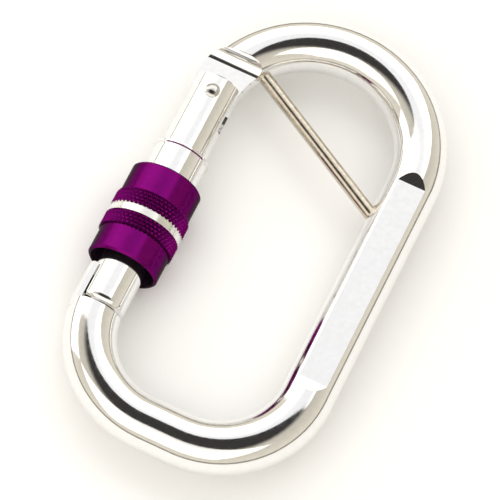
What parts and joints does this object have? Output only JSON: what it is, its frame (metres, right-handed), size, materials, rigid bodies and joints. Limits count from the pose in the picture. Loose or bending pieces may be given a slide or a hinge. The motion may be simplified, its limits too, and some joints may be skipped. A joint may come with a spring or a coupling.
{
  "type": "locking carabiner",
  "caption": "Oval screw-lock carabiner: bent round-bar body with pressed spine flats, sprung hinged gate, knurled locking sleeve and a captive pin across one corner.",
  "frame": {"origin": "centre of the whole object's box, in the plane of the loop", "axes": "+Y from the nose to the gate hinge along the loop's length, +X from the gate to the spine, +Z out of the loop's plane"},
  "size_m": [0.0622, 0.11, 0.0172],
  "materials": {
    "polished_alloy": "mirror polished",
    "anodised_purple": "bright anodised, knurled",
    "bright_steel": "polished",
    "pin_steel": "drawn and polished",
    "spring_steel": "drawn wire",
    "ring_rubber": "moulded"
  },
  "bodies": {
    "frame": {"frame": "polished_alloy", "captive_pin": "pin_steel"},
    "gate": {"gate": "polished_alloy", "hinge_rivet": "bright_steel", "gate_collar": "polished_alloy", "gate_spring": "spring_steel"},
    "plunger": {"spring_plunger": "bright_steel"},
    "sleeve_carrier": {"friction_ring": "ring_rubber"},
    "sleeve": {"lock_sleeve_upper": "anodised_purple", "lock_sleeve_lower": "anodised_purple"}
  },
  "joints": [
    {"name": "gate_hinge", "type": "hinge", "parent": "frame", "child": "gate", "pos_m": [-0.0225, 0.025, 0], "axis": [0, 0, 1], "range_deg": [0, 28], "stiffness_Nm_per_rad": 0.3, "springref_deg": -22.92},
    {"name": "plunger_slide", "type": "slide", "parent": "gate", "child": "plunger", "axis": [0, -1, 0], "range_m": [0, 0.0011], "deforming": ["gate_spring"]},
    {"name": "sleeve_slide", "type": "slide", "parent": "gate", "child": "sleeve_carrier", "axis": [0, 1, 0], "range_m": [-0.0121, 0.0068]},
    {"name": "sleeve_spin", "type": "hinge", "parent": "sleeve_carrier", "child": "sleeve", "pos_m": [-0.0225, -0.008, 0], "axis": [0, 1, 0], "range_deg": [-2160, 1220]}
  ],
  "couplings": [
    {"joint": "plunger_slide", "follows": "gate_hinge", "m_per_rad": 0.0021},
    {"joint": "sleeve_slide", "follows": "sleeve_spin", "m_per_rad": 0.00031831}
  ]
}
